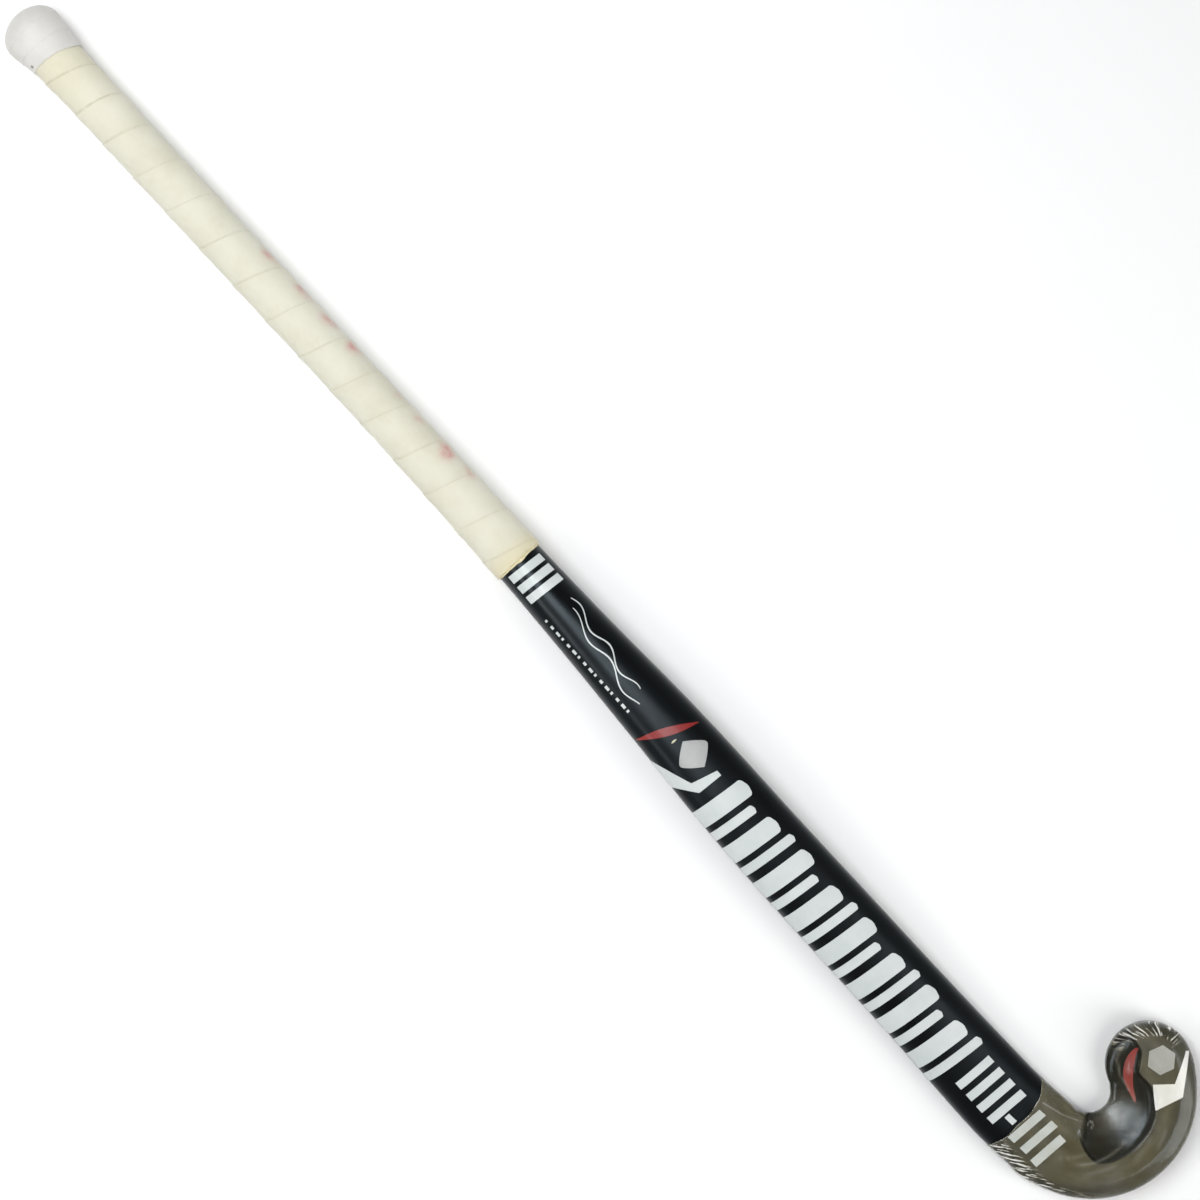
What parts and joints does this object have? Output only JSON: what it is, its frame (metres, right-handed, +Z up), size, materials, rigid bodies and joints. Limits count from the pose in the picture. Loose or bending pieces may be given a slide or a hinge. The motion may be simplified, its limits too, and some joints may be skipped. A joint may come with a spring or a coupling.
{
  "type": "field hockey stick",
  "caption": "Composite field hockey stick with hooked head, rounded back, wound cream grip, taped flared butt and clear film over the head.",
  "frame": {"origin": "on the floor under the middle of the bounding box, with the stick lying on its flat playing face", "axes": "+X from the butt to the head, +Y towards the toe of the hook, +Z up out of the rounded back"},
  "size_m": [0.9268, 0.1244, 0.044],
  "materials": {
    "laminate": "high gloss black lacquer over fibre laminate",
    "foam": "closed-cell damping foam",
    "cap": "moulded semi-rigid plastic",
    "backing": "tacky yellowed adhesive cushion",
    "grip": "cream synthetic grip strip, softly worn, soiled at the turns",
    "tape": "white stretch finishing tape",
    "film": "clear glossy shrink film",
    "white_ink": "satin printed transfer",
    "grey_ink": "satin metallic grey transfer",
    "red_ink": "satin printed transfer"
  },
  "bodies": {
    "root": {"body_shell": "laminate", "handle_core": "foam", "head_core": "foam", "butt_cap": "cap", "grip_backing": "backing", "grip_strip": "grip", "butt_tape": "tape", "head_film": "film", "upper_bars": "white_ink", "wave_lines": "white_ink", "fine_dashes": "white_ink", "red_band": "red_ink", "grey_lozenge": "grey_ink", "white_chevron": "white_ink", "large_bars": "white_ink", "small_bars": "white_ink", "head_lozenge": "grey_ink", "head_chevron": "white_ink", "head_red_stripe": "red_ink"}
  },
  "joints": []
}
